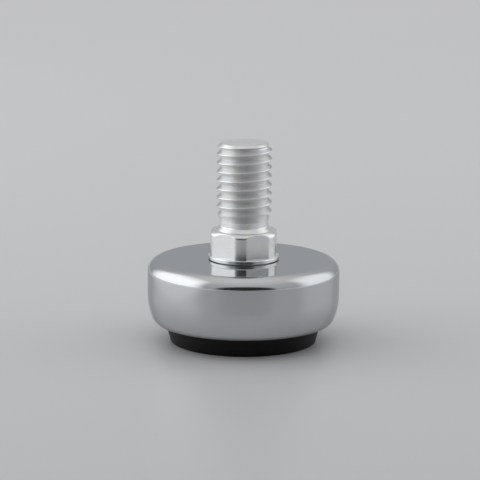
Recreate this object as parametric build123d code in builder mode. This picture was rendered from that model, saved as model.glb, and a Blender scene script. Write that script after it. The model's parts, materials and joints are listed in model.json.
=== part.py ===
from build123d import *
from math import radians, sin
import os

# Threaded leveling foot. Millimetres, +Z up along the stud, origin on the floor under the stud's axis.

# Pressed cap
cap_diameter = 27.5
cap_height = 9.1
sheet_thickness = 0.8
top_bend_inside = 1.0
rim_bend_inside = 0.7
side_sweep_radius = 9.9
side_sweep_angle = 20.8
rim_roll_angle = 41.4
rim_height = 2.8

# Moulded pad
pad_clearance = 0.1
foot_setback = 0.65
foot_draft = 0.95
foot_edge_chamfer = 0.3
pad_floor = 4.5
pocket_clearance = 1.5

# Stud above the cap
thread_diameter = 7.9
thread_length = 10.3
thread_runout = 0.4
end_chamfer = 0.6
end_dish_diameter = 5.2
end_dish_depth = 0.15
neck_diameter = 7.0
neck_length = 2.2
neck_root_chamfer = 0.6
hex_sides = 6
hex_across_flats = 9.25
hex_blank_diameter = 9.9
hex_bevel_width = 0.3
hex_bevel_height = 0.65
hex_height = 3.55
hex_turn = 25
flange_diameter = 10.1
flange_thickness = 0.6
flange_rim = 0.45
flange_edge_chamfer = 0.12
collar_diameter = 8.4
collar_height = 0.15

# Stud below the cap's top, and its washer
swivel_clearance = 0.05
swivel_play = 0.05
tail_diameter = 5.6
shank_diameter = 4.4
rivet_head_diameter = 7.2
rivet_flat_diameter = 5.0
rivet_head_height = 1.0
washer_diameter = 12.0
washer_thickness = 0.8
washer_clearance = 0.05

# Bends of the sheet at its outer face, and the height where the side starts to sweep in
cap_radius = cap_diameter / 2
top_bend = top_bend_inside + sheet_thickness
rim_bend = rim_bend_inside + sheet_thickness
rim_end_angle = side_sweep_angle + rim_roll_angle
rim_roll_drop = rim_bend * (sin(radians(rim_end_angle)) - sin(radians(side_sweep_angle)))
sweep_start = rim_height + rim_roll_drop + side_sweep_radius * sin(radians(side_sweep_angle))

# Levels from the floor up
cap_top = rim_height + cap_height
flange_bottom = cap_top + collar_height
flange_rim_top = flange_bottom + flange_rim
flange_top = flange_bottom + flange_thickness
hex_top = flange_top + hex_height
thread_start = hex_top + neck_length
stud_top = thread_start + thread_length
dish_bottom = stud_top - end_dish_depth

# Levels from the cap's top down
tail_shoulder = cap_top - sheet_thickness - swivel_play
washer_bottom = tail_shoulder - washer_thickness
rivet_bottom = washer_bottom - rivet_head_height

# Radii of the stud and its washer
thread_radius = thread_diameter / 2
dish_radius = end_dish_diameter / 2
neck_radius = neck_diameter / 2
neck_root_radius = neck_radius + neck_root_chamfer
hex_inradius = hex_across_flats / 2
hex_blank_radius = hex_blank_diameter / 2
flange_radius = flange_diameter / 2
collar_radius = collar_diameter / 2
tail_radius = tail_diameter / 2
shank_radius = shank_diameter / 2
rivet_head_radius = rivet_head_diameter / 2
rivet_flat_radius = rivet_flat_diameter / 2
washer_radius = washer_diameter / 2
hole_radius = tail_radius + swivel_clearance
pocket_radius = washer_radius + pocket_clearance


def cap_contour(inset, start_radius, mode=Mode.ADD):
    """Draw the cap's half section from its flat top to its rolled edge, a given distance inside its outer face.

    The bends share their centres, so that contours with different insets run parallel. Returns the points
    where its lines and bends meet, with the middle of the top bend.
    """
    flat = Line((start_radius, cap_top - inset), (cap_radius - top_bend, cap_top - inset), mode=mode)
    edge = JernArc(flat @ 1, (1, 0), top_bend - inset, -90, mode=mode)
    side = Line(edge @ 1, (cap_radius - inset, sweep_start), mode=mode)
    sweep_in = JernArc(side @ 1, (0, -1), side_sweep_radius - inset, -side_sweep_angle, mode=mode)
    roll = JernArc(sweep_in @ 1, sweep_in % 1, rim_bend - inset, -rim_roll_angle, mode=mode)
    return [flat @ 0, edge @ 0, edge @ 0.5, edge @ 1, side @ 1, roll @ 0, roll @ 1]


os.makedirs("parts", exist_ok=True)

# Cap: one sheet, pressed to a cup, pierced for the stud's tail and rolled in at its lower edge
with BuildPart() as cap:
    with BuildSketch(Plane.XZ):
        with BuildLine():
            outer_face = cap_contour(0, hole_radius)
            inner_face = cap_contour(sheet_thickness, hole_radius, mode=Mode.PRIVATE)
            Polyline(outer_face[0], *inner_face, outer_face[-1])
        make_face()
    revolve(axis=Axis.Z)
cap.part.label = "cap"
export_step(cap.part, "parts/cap.step")

# Pad: fills the cap behind an even clearance, with a plain bevel in the cap's top bend, hollowed on top for the
# riveted end, with a tapered foot below the rim
foot_radius = inner_face[-1].X - foot_setback
with BuildPart() as base_pad:
    with BuildSketch(Plane.XZ):
        with BuildLine():
            pad_side = cap_contour(sheet_thickness + pad_clearance, pocket_radius, mode=Mode.PRIVATE)
            Polyline(
                *pad_side[:2],
                *pad_side[3:],
                (foot_radius, pad_side[-1].Y),
                (foot_radius - foot_draft, 0),
                (0, 0),
                (0, pad_floor),
                (pocket_radius, pad_floor),
                close=True,
            )
        make_face()
    revolve(axis=Axis.Z)
    chamfer(base_pad.edges().group_by(Axis.Z)[0], length=foot_edge_chamfer)
base_pad.part.label = "base_pad"
export_step(base_pad.part, "parts/base_pad.step")

# Stud: a hexagon pressed into the round blank, which its corners keep, then everything round about its axis
with BuildPart() as threaded_stud:
    with BuildSketch(Plane.XY.offset(flange_rim_top)):
        RegularPolygon(hex_inradius, hex_sides, major_radius=False, rotation=hex_turn)
        Circle(hex_blank_radius, mode=Mode.INTERSECT)
    extrude(amount=hex_top - flange_rim_top)
    hex_end = threaded_stud.faces().sort_by(Axis.Z)[-1]
    chamfer(hex_end.edges(), length=hex_bevel_width, length2=hex_bevel_height, reference=hex_end)
    with BuildSketch(Plane.XZ):
        with BuildLine():
            Polyline(
                (0, dish_bottom),
                (dish_radius, stud_top),
                (thread_radius - end_chamfer, stud_top),
                (thread_radius, stud_top - end_chamfer),
                (thread_radius, thread_start + thread_runout),
                (neck_radius, thread_start),
                (neck_radius, hex_top + neck_root_chamfer),
                (neck_root_radius, hex_top),
                (neck_root_radius, flange_top),
                (hex_inradius, flange_top),
                (flange_radius, flange_rim_top),
                (flange_radius, flange_bottom + flange_edge_chamfer),
                (flange_radius - flange_edge_chamfer, flange_bottom),
                (collar_radius, flange_bottom),
                (collar_radius, cap_top),
                (tail_radius, cap_top),
                (tail_radius, tail_shoulder),
                (shank_radius, tail_shoulder),
                (shank_radius, washer_bottom),
                (rivet_head_radius, washer_bottom),
                (rivet_flat_radius, rivet_bottom),
                (0, rivet_bottom),
                close=True,
            )
        make_face()
    revolve(axis=Axis.Z)
threaded_stud.part.label = "threaded_stud"
export_step(threaded_stud.part, "parts/threaded_stud.step")

# Washer: clamped between the tail's shoulder and the riveted end, it turns with the stud
with BuildPart() as retaining_washer:
    with BuildSketch(Plane.XY.offset(washer_bottom)):
        Circle(washer_radius)
        Circle(shank_radius + washer_clearance, mode=Mode.SUBTRACT)
    extrude(amount=washer_thickness)
retaining_washer.part.label = "retaining_washer"
export_step(retaining_washer.part, "parts/retaining_washer.step")
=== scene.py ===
import json
import math

import bpy
import numpy as np
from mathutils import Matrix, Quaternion, Vector


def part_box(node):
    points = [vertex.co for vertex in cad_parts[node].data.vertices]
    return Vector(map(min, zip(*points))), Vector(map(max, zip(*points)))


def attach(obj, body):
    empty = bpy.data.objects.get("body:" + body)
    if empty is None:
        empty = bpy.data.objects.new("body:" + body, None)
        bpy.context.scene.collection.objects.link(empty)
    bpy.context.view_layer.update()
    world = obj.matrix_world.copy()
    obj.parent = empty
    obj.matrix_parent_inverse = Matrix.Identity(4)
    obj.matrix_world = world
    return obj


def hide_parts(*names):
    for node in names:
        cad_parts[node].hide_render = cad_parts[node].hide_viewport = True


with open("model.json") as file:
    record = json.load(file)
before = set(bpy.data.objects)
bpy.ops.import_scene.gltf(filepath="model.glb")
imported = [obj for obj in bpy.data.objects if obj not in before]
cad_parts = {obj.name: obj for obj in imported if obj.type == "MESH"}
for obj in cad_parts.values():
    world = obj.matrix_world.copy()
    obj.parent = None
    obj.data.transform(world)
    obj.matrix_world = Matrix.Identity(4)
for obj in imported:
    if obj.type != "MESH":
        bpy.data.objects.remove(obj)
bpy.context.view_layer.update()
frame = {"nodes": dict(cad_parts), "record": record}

# Shapes are worked out in millimetres and go into their meshes in metres.
MM = 0.001

# Sizes that the frame gives
cap_low, cap_high = (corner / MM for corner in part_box("cap"))
stud_low, stud_high = (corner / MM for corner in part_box("threaded_stud"))
washer_low, washer_high = (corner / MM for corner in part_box("retaining_washer"))
thread_mount = next(m for m in frame["record"]["mounts"] if m["name"] == "stud_thread")
thread_wall_middle = thread_mount["pos_m"][2] / MM
thread_wall_half = thread_mount["dims"]["length_mm"] / 2

# Pressed cap
CAP_RADIUS = cap_high.x
CAP_TOP = cap_high.z
RIM_HEIGHT = cap_low.z
SHEET = 0.8
TOP_BEND = 1.8
SWEEP_RADIUS = 9.9
SWEEP_ANGLE = math.radians(20.8)
RIM_BEND = 1.5
RIM_END_ANGLE = math.radians(62.2)
HOLE_RADIUS = 2.85

# Moulded pad
PAD_CLEARANCE = 0.1
FOOT_SETBACK = 0.65
FOOT_DRAFT = 0.95
PAD_FLOOR = 4.5
POCKET_RADIUS = 7.5

# Stud, from its riveted end up
RIVET_BOTTOM = stud_low.z
RIVET_FLAT_RADIUS = 2.5
RIVET_HEAD_RADIUS = 3.6
SHANK_RADIUS = 2.2
TAIL_RADIUS = 2.8
COLLAR_RADIUS = 4.2
COLLAR_HEIGHT = 0.15
FLANGE_RADIUS = 5.05
FLANGE_BOTTOM = CAP_TOP + COLLAR_HEIGHT
FLANGE_DIP = 0.06
FLANGE_RIM = 0.45
FLANGE_THICKNESS = 0.6
HEX_SIDES = 6
HEX_INRADIUS = 4.625
HEX_CORNER_RADIUS = 4.95
HEX_TURN = math.radians(25)
HEX_HEIGHT = 3.55
HEX_TOP_RADIUS = 4.5
HEX_BEVEL_SLOPE = 0.85
NECK_RADIUS = 3.5
NECK_ROOT = 0.6
STUD_TOP = stud_high.z
END_DISH_RADIUS = 2.6
END_DISH_DEPTH = 0.15

# Rolled thread, right-hand. A crest faces the front at a set height, and the thread starts to rise from the
# neck a little below the plain wall that the solid keeps for its mount
THREAD_RADIUS = thread_mount["dims"]["r_mm"]
THREAD_ROOT = 3.42
THREAD_PITCH = 1.25
ROOT_HOLLOW = 1.5
CREST_SOFT = 0.2
CREST_AT_FRONT = 27.38
RUNOUT_LEAD = 1.2
RUNOUT_START = thread_wall_middle - thread_wall_half - RUNOUT_LEAD
CREST_RUNOUT = 1.5
ROOT_RUNOUT = 2.0
CHAMFER_START = thread_wall_middle + thread_wall_half
FRONT = -math.pi / 2

# Rolling marks lie between the neck and the end chamfer. They leave the burnished crests free to a depth,
# and roughen and spread the shine. Inside the thread's root the metal turns matt over a margin, for the
# stud's sheared end
MARKS_MIDDLE = (RUNOUT_START + CHAMFER_START) / 2
MARKS_REACH = (CHAMFER_START - RUNOUT_START) / 2
CREST_BURNISH = 0.05
MARK_ROUGHNESS = 0.33
MARK_SPREAD = 0.9
SHEARED_MARGIN = 0.2
SHEARED_ROUGHNESS = 0.5

# How far from each edge of the pad and the stud its rounding starts
FOOT_EDGE = 0.2
SHOULDER_EDGE = 0.15
POCKET_EDGE = 0.3
RIVET_EDGE = 0.2
SHARP_EDGE = 0.02
FLANGE_LOWER_EDGE = 0.06
FLANGE_UPPER_EDGE = 0.1
HEX_CORNER_EDGE = 0.28
HEX_TOP_EDGE = 0.03
NECK_EDGE = 0.06
DISH_EDGE = 0.15

# Widths of the plain strips that keep flats flat beside an edge, and of the rounding where two forms meet
STRIP = 0.04
END_STRIP = 0.1
EDGE_SOFT = 0.05

# Columns and rows of the surfaces. From the middle of a hexagon's corner, the stud's columns are set as
# shares of the angle to where the corner meets its flat, close together there, and from the flat's share on
# they are spread evenly. The thread's rows are counted for one pitch
CAP_COLUMNS = 192
PAD_COLUMNS = 160
CORNER_SHARES = (0, 0.3, 0.6, 0.8, 0.9, 0.96, 1.02, 1.1, 1.22)
FLAT_SHARE = 1.4
FLAT_COLUMNS = 8
THREAD_ROWS = 30

# Values between which a noise texture mostly lies
NOISE_LOW = 0.3
NOISE_HIGH = 0.7

# Floor: its reach, and where it starts and ends to turn paler towards the back, in metres. The paler back
# is painted light, a fall of light towards the front painted into the board's grey. The stop is the place
# of that far grey on the floor's ramp of greys
FLOOR_REACH = 3.0
FLOOR_NEAR = -0.1
FLOOR_FAR = 0.45
FLOOR_FAR_STOP = 0.5

# White sides of the floor, painted light: a white that the metal mirrors in place of reflectors beside the
# object.
# Where the white starts and where it is full, in metres to the left. To the right a distance counts for
# less, by this share, and to the back the sides lean outwards
WHITE_START = 0.038
WHITE_FULL = 0.06
WHITE_RIGHT_SHARE = 0.6
WHITE_LEAN = -0.1

# Softboxes: their distance in metres, and the shares of their width and height over which they fade
SOFTBOX_DISTANCE = 0.3
SOFTBOX_FADE = 0.3
SOFTBOX_TOP_FADE = 0.75

# Dark opening: its distance in metres, how far to the right, how wide and how high it looks from the object
# in degrees, and the share of it that fades at its edge
OPENING_DISTANCE = 0.4
OPENING_AZIMUTH = 4
OPENING_HALF_WIDTH = 40
OPENING_TOP = 34
OPENING_FADE = 0.35


def arc(centre, radius, start, end, count):
    """Points on a circle about a centre (radius from the axis, height), from one angle to another."""
    angle = np.linspace(start, end, count)
    return np.stack([centre[0] + radius * np.cos(angle), centre[1] + radius * np.sin(angle)], axis=1)


def unit(step):
    """The same directions in the section, each of length one."""
    return step / np.linalg.norm(step, axis=0)


def soft_section(corners, columns, steps=6):
    """Rows of a section that runs straight from corner to corner, with those between its ends rounded off.

    A corner is a radius, a height and, between the ends, a setback, each one number or one for every
    column. The straight run stops one setback before a corner and goes on one setback after it, and
    between them lies the parabola whose control point is the corner itself.
    """
    points = [np.stack([np.broadcast_to(value, columns) for value in corner]) for corner in corners]
    share = np.linspace(0, 1, steps)[:, None, None]
    rows = [points[0][None]]
    for before, corner, after in zip(points, points[1:], points[2:]):
        place, setback = corner[:2], corner[2]
        back = unit(before[:2] - place)
        ahead = unit(after[:2] - place)
        start = place + setback * back
        end = place + setback * ahead
        bend = (1 - share) ** 2 * start + 2 * share * (1 - share) * place + share**2 * end
        rows += [(start + STRIP * back)[None], bend, (end + STRIP * ahead)[None]]
    rows.append(points[-1][None])
    return np.concatenate(rows)


def turned_mesh(name, section, turn, poles=None):
    """Mesh of a section carried round the stud's axis.

    Row k in the direction turn[j] lies at radius section[k, 0, j] and height section[k, 1, j]. Rows run up
    the outside, so that faces point outwards. With the heights of two poles, the first and last rows close
    to them on the axis, and without them the last row joins the first.
    """
    radius, height = section[:, 0], section[:, 1]
    points = np.stack([radius * np.cos(turn), radius * np.sin(turn), height], axis=-1).reshape(-1, 3)
    index = np.arange(radius.size).reshape(radius.shape)
    lower = index if poles is None else index[:-1]
    upper = np.roll(index, -1, axis=0) if poles is None else index[1:]
    quads = np.stack([lower, np.roll(lower, -1, 1), np.roll(upper, -1, 1), upper], axis=-1)
    faces = quads.reshape(-1, 4).tolist()
    if poles is not None:
        points = np.concatenate([points, [[0, 0, height] for height in poles]])
        under = np.full(turn.size, radius.size)
        faces += np.stack([under, np.roll(index[0], -1), index[0]], axis=1).tolist()
        faces += np.stack([under + 1, index[-1], np.roll(index[-1], -1)], axis=1).tolist()
    mesh = bpy.data.meshes.new(name)
    mesh.from_pydata((points * MM).tolist(), [], faces)
    mesh.shade_smooth()
    piece = bpy.data.objects.new(name, mesh)
    bpy.context.scene.collection.objects.link(piece)
    return piece


def full_turn(columns):
    """Directions spread evenly round the axis."""
    return np.arange(columns) * math.tau / columns


def cap_contour(inset, start_radius, rows):
    """The cap's half section from its rolled edge to its flat top, a given distance inside its outer face.

    Three arcs with fixed centres make the rolled edge, the side's inward sweep and the top bend, so that
    contours with different insets run parallel. The flat top ends at the start radius.
    """
    sweep_centre = np.array([CAP_RADIUS - SWEEP_RADIUS, 0])
    sweep_end = np.array([np.cos(SWEEP_ANGLE), -np.sin(SWEEP_ANGLE)])
    roll_centre = sweep_centre + (SWEEP_RADIUS - RIM_BEND) * sweep_end
    lift = RIM_HEIGHT + RIM_BEND * np.sin(RIM_END_ANGLE) - roll_centre[1]
    roll = arc(roll_centre, RIM_BEND - inset, -RIM_END_ANGLE, -SWEEP_ANGLE, rows)
    sweep = arc(sweep_centre, SWEEP_RADIUS - inset, -SWEEP_ANGLE, 0, 2 * rows)
    bend_centre = (CAP_RADIUS - TOP_BEND, CAP_TOP - TOP_BEND)
    bend = arc(bend_centre, TOP_BEND - inset, 0, math.pi / 2, 3 * rows)
    side = np.array([[CAP_RADIUS - inset, bend_centre[1] - STRIP]])
    flat_start = np.array([[bend_centre[0] - STRIP, CAP_TOP - inset]])
    flat_end = np.array([[start_radius + STRIP, CAP_TOP - inset], [start_radius, CAP_TOP - inset]])
    up = np.array([0, lift])
    return np.concatenate([roll + up, sweep[1:] + up, side, bend, flat_start, flat_end])


def make_cap():
    """The pressed cup as one closed sheet: up its outer face to the stud's hole and down its inner face."""
    turn = full_turn(CAP_COLUMNS)
    outer = cap_contour(0, HOLE_RADIUS, rows=10)
    inner = cap_contour(SHEET, HOLE_RADIUS, rows=6)[::-1]
    section = np.concatenate([outer, inner])
    return turned_mesh("pressed_cap", np.repeat(section[:, :, None], turn.size, axis=2), turn)


def make_pad():
    """The moulded pad: a drafted foot with a rounded edge, a shoulder over the rolled rim, sides that
    follow the inside of the cap, and a pocket for the riveted end."""
    turn = full_turn(PAD_COLUMNS)
    side = cap_contour(SHEET + PAD_CLEARANCE, POCKET_RADIUS, rows=6)
    shoulder = side[0]
    rim_end = cap_contour(SHEET, HOLE_RADIUS, rows=2)[0]
    foot_radius = rim_end[0] - FOOT_SETBACK
    foot = soft_section(
        [
            (foot_radius / 2, 0),
            (foot_radius - FOOT_DRAFT, 0, FOOT_EDGE),
            (foot_radius, shoulder[1], SHOULDER_EDGE),
            (shoulder[0], shoulder[1]),
        ],
        turn.size,
    )
    upper = np.repeat(side[1:, :, None], turn.size, axis=2)
    pocket = soft_section(
        [
            (POCKET_RADIUS, CAP_TOP - SHEET),
            (POCKET_RADIUS, PAD_FLOOR, POCKET_EDGE),
            (POCKET_RADIUS / 2, PAD_FLOOR),
        ],
        turn.size,
    )
    return turned_mesh("moulded_pad", np.concatenate([foot, upper, pocket[1:]]), turn, poles=(0, PAD_FLOOR))


def soft_least(first, second, width):
    """The smaller of two values, with the change from one to the other rounded over a width."""
    return (first + second - np.sqrt((first - second) ** 2 + width**2)) / 2


def hex_columns():
    """Directions for the stud's columns, close together where the hexagon's flats meet its corners."""
    half_side = 180 / HEX_SIDES
    meeting = half_side - math.degrees(math.acos(HEX_INRADIUS / HEX_CORNER_RADIUS))
    corner = meeting * np.array(CORNER_SHARES)
    flat = np.linspace(meeting * FLAT_SHARE, half_side, FLAT_COLUMNS)
    half = np.concatenate([corner, flat])
    side = np.concatenate([-half[-2:0:-1], half])
    corners = np.arange(HEX_SIDES) * 360 / HEX_SIDES
    return HEX_TURN + np.radians((corners[:, None] + side).ravel())


def hex_reach(turn):
    """Distance from the axis to the hexagon in each direction: to its flats, or to the round blank that its
    corners keep."""
    step = math.tau / HEX_SIDES
    from_flat = (turn - HEX_TURN) % step - step / 2
    return soft_least(HEX_INRADIUS / np.cos(from_flat), HEX_CORNER_RADIUS, EDGE_SOFT)


def soft_step(value):
    """0 below zero, 1 above one, and a smooth rise between."""
    share = np.clip(value, 0, 1)
    return share**2 * (3 - 2 * share)


def thread_section(turn):
    """Rows of the rolled thread, from the neck to the stud's end.

    The ridge's height depends on the distance to the nearest crest along the axis, and the crests climb by
    one pitch in a full turn. It falls from a rounded crest as a power of what is left of the way to the
    root, which hollows the root out. The ridge fades into the neck at the bottom, and a cone cuts it off at
    the top.
    """
    count = int(THREAD_ROWS * (STUD_TOP - RUNOUT_START) / THREAD_PITCH)
    height = np.linspace(RUNOUT_START, STUD_TOP, count)[:, None]
    climb = (height - CREST_AT_FRONT) / THREAD_PITCH - (turn - FRONT) / math.tau
    from_crest = np.hypot(2 * (climb - np.round(climb)), CREST_SOFT)
    ridge = np.clip((1 - from_crest) / (1 - CREST_SOFT), 0, 1) ** ROOT_HOLLOW
    crest = NECK_RADIUS + (THREAD_RADIUS - NECK_RADIUS) * soft_step((height - RUNOUT_START) / CREST_RUNOUT)
    root = NECK_RADIUS + (THREAD_ROOT - NECK_RADIUS) * soft_step((height - RUNOUT_START) / ROOT_RUNOUT)
    radius = soft_least(root + (crest - root) * ridge, THREAD_RADIUS - (height - CHAMFER_START), EDGE_SOFT)
    return np.stack([radius, np.broadcast_to(height, radius.shape)], axis=1)


def make_stud():
    """The stud as one turned surface that follows the hexagon between its flange and its bevelled top.

    The bevel is a cone that drops in proportion to the hexagon's reach beyond the flat top, so that it cuts
    mainly the corners, and its lower edge is softer where it drops further.
    """
    turn = hex_columns()
    reach = hex_reach(turn)
    flange_top = FLANGE_BOTTOM + FLANGE_THICKNESS
    rim_top = FLANGE_BOTTOM + FLANGE_RIM
    ledge_slope = (FLANGE_THICKNESS - FLANGE_RIM) / (FLANGE_RADIUS - HEX_INRADIUS)
    hex_top = flange_top + HEX_HEIGHT
    bevel = (reach - HEX_TOP_RADIUS) * HEX_BEVEL_SLOPE
    bevel_edge = HEX_CORNER_EDGE * (bevel / bevel.max()) ** 2
    lower = soft_section(
        [
            (RIVET_FLAT_RADIUS / 2, RIVET_BOTTOM),
            (RIVET_FLAT_RADIUS, RIVET_BOTTOM, RIVET_EDGE),
            (RIVET_HEAD_RADIUS, washer_low.z, SHARP_EDGE),
            (SHANK_RADIUS, washer_low.z, SHARP_EDGE),
            (SHANK_RADIUS, washer_high.z, SHARP_EDGE),
            (TAIL_RADIUS, washer_high.z, SHARP_EDGE),
            (TAIL_RADIUS, CAP_TOP, SHARP_EDGE),
            (COLLAR_RADIUS, CAP_TOP, SHARP_EDGE),
            (COLLAR_RADIUS, FLANGE_BOTTOM, SHARP_EDGE),
            (FLANGE_RADIUS, FLANGE_BOTTOM - FLANGE_DIP, FLANGE_LOWER_EDGE),
            (FLANGE_RADIUS, rim_top, FLANGE_UPPER_EDGE),
            (reach, flange_top - (reach - HEX_INRADIUS) * ledge_slope, SHARP_EDGE),
            (reach, hex_top - bevel, bevel_edge),
            (HEX_TOP_RADIUS, hex_top, HEX_TOP_EDGE),
            (NECK_RADIUS + NECK_ROOT, hex_top, NECK_EDGE),
            (NECK_RADIUS, hex_top + NECK_ROOT, NECK_EDGE),
            (NECK_RADIUS, RUNOUT_START),
        ],
        turn.size,
    )
    thread = thread_section(turn)
    end = soft_section(
        [
            thread[-1],
            (thread[-1, 0] - END_STRIP, STUD_TOP, SHARP_EDGE),
            (END_DISH_RADIUS, STUD_TOP, DISH_EDGE),
            (END_DISH_RADIUS / 4, STUD_TOP - END_DISH_DEPTH),
        ],
        turn.size,
    )
    section = np.concatenate([lower, thread[1:], end[1:]])
    return turned_mesh("rolled_stud", section, turn, poles=(RIVET_BOTTOM, STUD_TOP - END_DISH_DEPTH))


def linear(code):
    """An sRGB hex colour as linear red, green, blue and alpha."""
    shares = np.array([int(code[i : i + 2], 16) for i in (1, 3, 5)]) / 255
    values = np.where(shares <= 0.04045, shares / 12.92, ((shares + 0.055) / 1.055) ** 2.4)
    return (*values.tolist(), 1.0)


def add_node(tree, kind, inputs=None, **settings):
    """Add a node with its settings, and give each input its value or a link from another node's output."""
    node = tree.nodes.new(kind)
    for name, value in settings.items():
        setattr(node, name, value)
    for socket, value in (inputs or {}).items():
        if isinstance(value, bpy.types.NodeSocket):
            tree.links.new(value, node.inputs[socket])
        else:
            node.inputs[socket].default_value = value
    return node


def new_material(name):
    """An empty node material, with its tree and output."""
    material = bpy.data.materials.new(name)
    material.use_nodes = True
    tree = material.node_tree
    tree.nodes.clear()
    return material, tree, add_node(tree, "ShaderNodeOutputMaterial")


def chrome_plated_sheet():
    """Polished chrome over drawn sheet steel: a near mirror, a shade darker and bluer than silver, whose
    pictures swim a little where the sheet was stretched."""
    haze_size = 4.0 * MM
    swim_size = 5.0 * MM
    swim_depth = 0.01 * MM
    material, tree, output = new_material("chrome_plated_pressed_steel")
    place = add_node(tree, "ShaderNodeTexCoord").outputs["Object"]
    haze = add_node(
        tree,
        "ShaderNodeTexNoise",
        {"Vector": place, "Scale": 1 / haze_size, "Detail": 4.0, "Roughness": 0.6},
    )
    gloss = add_node(
        tree,
        "ShaderNodeMapRange",
        {
            "Value": haze.outputs["Fac"],
            "From Min": NOISE_LOW,
            "From Max": NOISE_HIGH,
            "To Min": 0.045,
            "To Max": 0.08,
        },
    )
    swim = add_node(tree, "ShaderNodeTexNoise", {"Vector": place, "Scale": 1 / swim_size, "Detail": 1.0})
    bump = add_node(
        tree,
        "ShaderNodeBump",
        {"Height": swim.outputs["Fac"], "Strength": 1.0, "Distance": swim_depth},
    )
    shader = add_node(
        tree,
        "ShaderNodeBsdfPrincipled",
        {
            "Base Color": linear("#C3C5C7"),
            "Specular Tint": linear("#E7E7E7"),
            "Metallic": 1.0,
            "Roughness": gloss.outputs["Result"],
            "Normal": bump.outputs["Normal"],
        },
    )
    tree.links.new(shader.outputs["BSDF"], output.inputs["Surface"])
    return material


def zinc_plated_stud():
    """Bright zinc over cold-formed steel: a pale metal with a faint uneven tint from the passivation, satin
    on the pressed hexagon and the neck. On the thread, fine rolling marks run round the stud and spread its
    reflections up and down, and the burnished crests catch the light as thin lines. The sheared end is
    matt."""
    cloud_size = 1.6 * MM
    material, tree, output = new_material("bright_zinc_plated_steel")
    place = add_node(tree, "ShaderNodeTexCoord").outputs["Object"]
    cloud = add_node(tree, "ShaderNodeTexNoise", {"Vector": place, "Scale": 1 / cloud_size, "Detail": 5.0})
    tint = add_node(tree, "ShaderNodeValToRGB", {"Fac": cloud.outputs["Fac"]})
    tint.color_ramp.elements[0].position = 0.35
    tint.color_ramp.elements[0].color = linear("#D8DADC")
    tint.color_ramp.elements[1].position = 0.68
    tint.color_ramp.elements[1].color = linear("#E2E2DF")
    height = add_node(tree, "ShaderNodeSeparateXYZ", {"Vector": place}).outputs["Z"]
    above_middle = add_node(
        tree,
        "ShaderNodeMath",
        {0: height, 1: MARKS_MIDDLE * MM},
        operation="SUBTRACT",
    )
    from_middle = add_node(
        tree,
        "ShaderNodeMath",
        {0: above_middle.outputs["Value"]},
        operation="ABSOLUTE",
    )
    between_ends = add_node(
        tree,
        "ShaderNodeMapRange",
        {
            "Value": from_middle.outputs["Value"],
            "From Min": MARKS_REACH * MM,
            "From Max": (MARKS_REACH - CREST_BURNISH) * MM,
        },
    )
    level = add_node(tree, "ShaderNodeMapping", {"Vector": place, "Scale": (1.0, 1.0, 0.0)})
    reach = add_node(tree, "ShaderNodeVectorMath", {0: level.outputs["Vector"]}, operation="LENGTH")
    below_crest = add_node(
        tree,
        "ShaderNodeMapRange",
        {
            "Value": reach.outputs["Value"],
            "From Min": (THREAD_RADIUS - CREST_BURNISH / 4) * MM,
            "From Max": (THREAD_RADIUS - CREST_BURNISH) * MM,
        },
    )
    rolled = add_node(
        tree,
        "ShaderNodeMath",
        {0: between_ends.outputs["Result"], 1: below_crest.outputs["Result"]},
        operation="MULTIPLY",
    )
    satin = add_node(
        tree,
        "ShaderNodeMapRange",
        {
            "Value": cloud.outputs["Fac"],
            "From Min": NOISE_LOW,
            "From Max": NOISE_HIGH,
            "To Min": 0.2,
            "To Max": 0.28,
        },
    )
    inside_root = add_node(
        tree,
        "ShaderNodeMapRange",
        {
            "Value": reach.outputs["Value"],
            "From Min": THREAD_ROOT * MM,
            "From Max": (THREAD_ROOT - SHEARED_MARGIN) * MM,
            "To Min": satin.outputs["Result"],
            "To Max": SHEARED_ROUGHNESS,
        },
    )
    roughness = add_node(
        tree,
        "ShaderNodeMath",
        {0: rolled.outputs["Value"], 1: MARK_ROUGHNESS, 2: inside_root.outputs["Result"]},
        operation="MULTIPLY_ADD",
    )
    spread = add_node(
        tree,
        "ShaderNodeMath",
        {0: rolled.outputs["Value"], 1: MARK_SPREAD},
        operation="MULTIPLY",
    )
    around = add_node(tree, "ShaderNodeTangent", direction_type="RADIAL", axis="Z")
    shader = add_node(
        tree,
        "ShaderNodeBsdfPrincipled",
        {
            "Base Color": tint.outputs["Color"],
            "Metallic": 1.0,
            "Roughness": roughness.outputs["Value"],
            "Anisotropic": spread.outputs["Value"],
            "Anisotropic Rotation": 0.25,
            "Tangent": around.outputs["Tangent"],
        },
    )
    tree.links.new(shader.outputs["BSDF"], output.inputs["Surface"])
    return material


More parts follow.
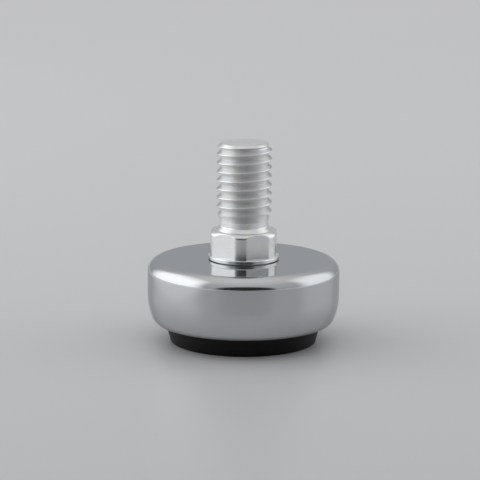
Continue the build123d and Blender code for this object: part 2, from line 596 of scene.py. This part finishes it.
def black_moulded_plastic():
    """Black polyethylene from a spark-eroded mould: nearly black, with a soft sheen broken up by fine
    grain. The grain is drawn about twice its real size, so that it shows."""
    grain_size = 0.25 * MM
    grain_depth = 0.02 * MM
    cloud_size = 3.0 * MM
    material, tree, output = new_material("black_moulded_polyethylene")
    place = add_node(tree, "ShaderNodeTexCoord").outputs["Object"]
    grain = add_node(tree, "ShaderNodeTexNoise", {"Vector": place, "Scale": 1 / grain_size, "Detail": 3.0})
    sheen = add_node(
        tree,
        "ShaderNodeMapRange",
        {
            "Value": grain.outputs["Fac"],
            "From Min": NOISE_LOW,
            "From Max": NOISE_HIGH,
            "To Min": 0.42,
            "To Max": 0.56,
        },
    )
    cloud = add_node(tree, "ShaderNodeTexNoise", {"Vector": place, "Scale": 1 / cloud_size, "Detail": 3.0})
    shade = add_node(tree, "ShaderNodeValToRGB", {"Fac": cloud.outputs["Fac"]})
    shade.color_ramp.elements[0].position = NOISE_LOW
    shade.color_ramp.elements[0].color = linear("#080808")
    shade.color_ramp.elements[1].position = NOISE_HIGH
    shade.color_ramp.elements[1].color = linear("#0D0D0D")
    bump = add_node(
        tree,
        "ShaderNodeBump",
        {"Height": grain.outputs["Fac"], "Strength": 0.5, "Distance": grain_depth},
    )
    shader = add_node(
        tree,
        "ShaderNodeBsdfPrincipled",
        {
            "Base Color": shade.outputs["Color"],
            "Roughness": sheen.outputs["Result"],
            "Specular IOR Level": 0.2,
            "Normal": bump.outputs["Normal"],
        },
    )
    tree.links.new(shader.outputs["BSDF"], output.inputs["Surface"])
    return material


def pale_board():
    """The floor's painted board: pale grey with a dull sheen, and paler away from the camera, a painted
    fall of light.
    Outside the picture on both sides it is white, painted light that the metal mirrors as it would a
    reflector."""
    material, tree, output = new_material("pale_board")
    place = add_node(tree, "ShaderNodeTexCoord").outputs["Object"]
    spot = add_node(tree, "ShaderNodeSeparateXYZ", {"Vector": place}).outputs
    # Painted fall of light: the board's grey turns paler towards the back.
    away = add_node(
        tree,
        "ShaderNodeMapRange",
        {"Value": spot["Y"], "From Min": FLOOR_NEAR, "From Max": FLOOR_FAR, "To Max": FLOOR_FAR_STOP},
    )
    # Painted light: white at the sides outside the picture, which the metal mirrors in place of reflectors.
    right = add_node(
        tree,
        "ShaderNodeMath",
        {0: spot["X"], 1: WHITE_RIGHT_SHARE},
        operation="MULTIPLY",
    )
    left = add_node(tree, "ShaderNodeMath", {0: spot["X"], 1: -1.0}, operation="MULTIPLY")
    sideways = add_node(
        tree,
        "ShaderNodeMath",
        {0: right.outputs["Value"], 1: left.outputs["Value"]},
        operation="MAXIMUM",
    )
    beside = add_node(
        tree,
        "ShaderNodeMath",
        {0: spot["Y"], 1: WHITE_LEAN, 2: sideways.outputs["Value"]},
        operation="MULTIPLY_ADD",
    )
    painted_light_share = add_node(
        tree,
        "ShaderNodeMapRange",
        {
            "Value": beside.outputs["Value"],
            "From Min": WHITE_START,
            "From Max": WHITE_FULL,
            "To Min": away.outputs["Result"],
        },
        interpolation_type="SMOOTHSTEP",
    )
    # The ramp's greys hold the painted fall of light and the painted white sides.
    shade = add_node(tree, "ShaderNodeValToRGB", {"Fac": painted_light_share.outputs["Result"]})
    shade.color_ramp.elements[0].color = linear("#BFC0C1")
    shade.color_ramp.elements[1].color = linear("#E9E9E9")
    shade.color_ramp.elements.new(FLOOR_FAR_STOP).color = linear("#E1E1E2")
    shader = add_node(
        tree,
        "ShaderNodeBsdfPrincipled",
        {"Base Color": shade.outputs["Color"], "Roughness": 0.4},
    )
    tree.links.new(shader.outputs["BSDF"], output.inputs["Surface"])
    return material


def dark_opening_material(half_width, height):
    """Dark grey that is deepest at the floor and clears towards the edge of a half ellipse."""
    material, tree, output = new_material("dark_opening")
    place = add_node(tree, "ShaderNodeTexCoord").outputs["Object"]
    ellipse = add_node(
        tree,
        "ShaderNodeMapping",
        {"Vector": place, "Scale": (1 / half_width, 0, 1 / height)},
    )
    inside = add_node(
        tree,
        "ShaderNodeTexGradient",
        {"Vector": ellipse.outputs["Vector"]},
        gradient_type="SPHERICAL",
    )
    fade = add_node(
        tree,
        "ShaderNodeMapRange",
        {"Value": inside.outputs["Fac"], "From Min": 0.0, "From Max": OPENING_FADE},
        interpolation_type="SMOOTHSTEP",
    )
    shader = add_node(
        tree,
        "ShaderNodeBsdfPrincipled",
        {"Base Color": linear("#363636"), "Roughness": 1.0, "Alpha": fade.outputs["Result"]},
    )
    tree.links.new(shader.outputs["BSDF"], output.inputs["Surface"])
    return material


def card(name, corners, material):
    """A flat four-cornered card in front of or under the object."""
    mesh = bpy.data.meshes.new(name)
    mesh.from_pydata(corners, [], [(0, 1, 2, 3)])
    mesh.materials.append(material)
    piece = bpy.data.objects.new(name, mesh)
    bpy.context.scene.collection.objects.link(piece)
    return piece


def softbox(name, azimuth, half_width, top, radiance):
    """An upright softbox that stands on the floor, placed by how the object sees it, dimmer at its edges.

    Azimuth is measured from the front to the right, and half_width and top are angles, all in degrees. Its
    power is its radiance times pi times its area.
    """
    width = 2 * SOFTBOX_DISTANCE * math.tan(math.radians(half_width))
    height = SOFTBOX_DISTANCE * math.tan(math.radians(top))
    lamp = bpy.data.lights.new(name, "AREA")
    lamp.shape = "RECTANGLE"
    lamp.size = width
    lamp.size_y = height
    lamp.energy = radiance * math.pi * width * height
    lamp.use_nodes = True
    tree = lamp.node_tree
    cloth = add_node(tree, "ShaderNodeNewGeometry").outputs
    along = add_node(tree, "ShaderNodeSeparateXYZ", {"Vector": cloth["Parametric"]}).outputs["X"]
    above_floor = add_node(tree, "ShaderNodeSeparateXYZ", {"Vector": cloth["Position"]}).outputs["Z"]
    across = add_node(tree, "ShaderNodeMath", {0: along, 1: 0.5}, operation="SUBTRACT")
    from_middle = add_node(
        tree,
        "ShaderNodeMath",
        {0: across.outputs["Value"]},
        operation="ABSOLUTE",
    )
    side_fade = add_node(
        tree,
        "ShaderNodeMapRange",
        {"Value": from_middle.outputs["Value"], "From Min": 0.5, "From Max": 0.5 - SOFTBOX_FADE},
        interpolation_type="SMOOTHSTEP",
    )
    top_fade = add_node(
        tree,
        "ShaderNodeMapRange",
        {"Value": above_floor, "From Min": height, "From Max": height * (1 - SOFTBOX_TOP_FADE)},
        interpolation_type="SMOOTHSTEP",
    )
    fade = add_node(
        tree,
        "ShaderNodeMath",
        {0: side_fade.outputs["Result"], 1: top_fade.outputs["Result"]},
        operation="MULTIPLY",
    )
    tree.links.new(fade.outputs["Value"], tree.nodes["Emission"].inputs["Strength"])
    box = bpy.data.objects.new(name, lamp)
    away = Vector((math.sin(math.radians(azimuth)), -math.cos(math.radians(azimuth)), 0))
    box.location = away * SOFTBOX_DISTANCE + Vector((0, 0, height / 2))
    box.rotation_euler = (-away).to_track_quat("-Z", "Y").to_euler()
    box.visible_camera = False
    bpy.context.scene.collection.objects.link(box)


def light_the_studio():
    """A pale room that is brighter overhead, with a softbox on either side and a dark opening behind the
    camera."""
    scene = bpy.context.scene
    scene.view_settings.view_transform = "Standard"
    scene.world = bpy.data.worlds.new("pale_room")
    scene.world.use_nodes = True
    tree = scene.world.node_tree
    direction = add_node(tree, "ShaderNodeTexCoord").outputs["Generated"]
    upward = add_node(tree, "ShaderNodeSeparateXYZ", {"Vector": direction}).outputs["Z"]
    shade = add_node(tree, "ShaderNodeValToRGB", {"Fac": upward})
    shade.color_ramp.elements[0].color = linear("#B6BABF")
    shade.color_ramp.elements[1].color = linear("#EAEAEA")
    shade.color_ramp.elements.new(0.6).color = linear("#CACACB")
    tree.links.new(shade.outputs["Color"], tree.nodes["Background"].inputs["Color"])
    softbox("left_softbox", azimuth=-94, half_width=50, top=66, radiance=1.18)
    softbox("right_softbox", azimuth=103, half_width=38, top=63, radiance=0.76)
    card(
        "floor",
        [(x * FLOOR_REACH, y * FLOOR_REACH, 0) for x, y in ((-1, -1), (1, -1), (1, 1), (-1, 1))],
        pale_board(),
    )
    half_width = OPENING_DISTANCE * math.tan(math.radians(OPENING_HALF_WIDTH))
    height = OPENING_DISTANCE * math.tan(math.radians(OPENING_TOP))
    dark = card(
        "dark_opening",
        [(x * half_width, -OPENING_DISTANCE, z * height) for x, z in ((1, 0), (-1, 0), (-1, 1), (1, 1))],
        dark_opening_material(half_width, height),
    )
    dark.location.x = OPENING_DISTANCE * math.tan(math.radians(OPENING_AZIMUTH))
    dark.visible_camera = False


def set_camera():
    """The camera stands in front of the foot, above its top, and looks slightly down with a long lens."""
    stand = Vector((-0.14, -342.3, 84.0)) * MM
    aim = Vector((-0.54, 0, 14.6)) * MM
    tilt = math.radians(0.41)
    image_size = 480
    focal_pixels = 2446
    camera = bpy.data.objects.new("camera", bpy.data.cameras.new("camera"))
    camera.data.sensor_width = 36
    camera.data.lens = camera.data.sensor_width * focal_pixels / image_size
    camera.location = stand
    facing = (aim - stand).to_track_quat("-Z", "Y") @ Quaternion((0, 0, 1), tilt)
    camera.rotation_euler = facing.to_euler()
    camera.data.clip_start = 0.01
    bpy.context.scene.collection.objects.link(camera)
    bpy.context.scene.camera = camera


def dress(piece, material, body, node):
    """Give a new piece its finish, and let it stand for its CAD node on that node's body."""
    piece.data.materials.append(material)
    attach(piece, body)
    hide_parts(node)


zinc = zinc_plated_stud()
dress(make_stud(), zinc, "stud", "threaded_stud")
dress(make_cap(), chrome_plated_sheet(), "base", "cap")
dress(make_pad(), black_moulded_plastic(), "base", "base_pad")
washer = frame["nodes"]["retaining_washer"]
washer.data.materials.clear()
washer.data.materials.append(zinc)

light_the_studio()
set_camera()
